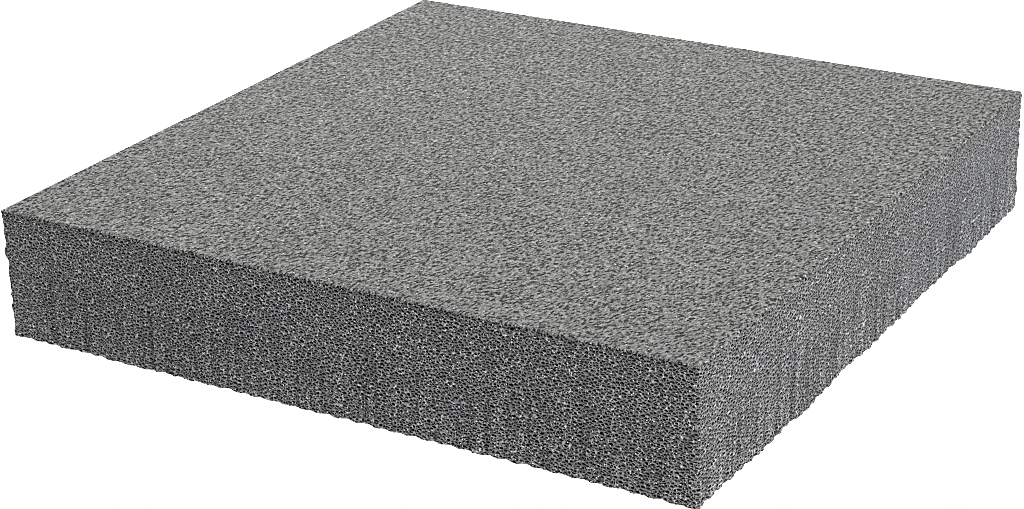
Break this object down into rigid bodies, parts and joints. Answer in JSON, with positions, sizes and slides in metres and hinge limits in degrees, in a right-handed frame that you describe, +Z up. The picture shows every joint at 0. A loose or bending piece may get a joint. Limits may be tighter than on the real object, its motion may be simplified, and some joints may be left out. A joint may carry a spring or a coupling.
{
  "type": "foam block",
  "caption": "Square slab of charcoal closed-cell foam with a wrinkled skin on top, sawn sides that show the cut cells, and a slightly torn lower edge.",
  "frame": {"origin": "centre of the base, on the surface that the block rests on", "axes": "+X along the front edge to the right, +Y from front to back, +Z up through the thickness"},
  "size_m": [0.286, 0.288, 0.0508],
  "materials": {
    "foam": "charcoal closed-cell polyethylene foam: wrinkled matt skin on top, cut cells with paler walls on the sides"
  },
  "bodies": {
    "root": {"foam_block": "foam"}
  },
  "joints": []
}
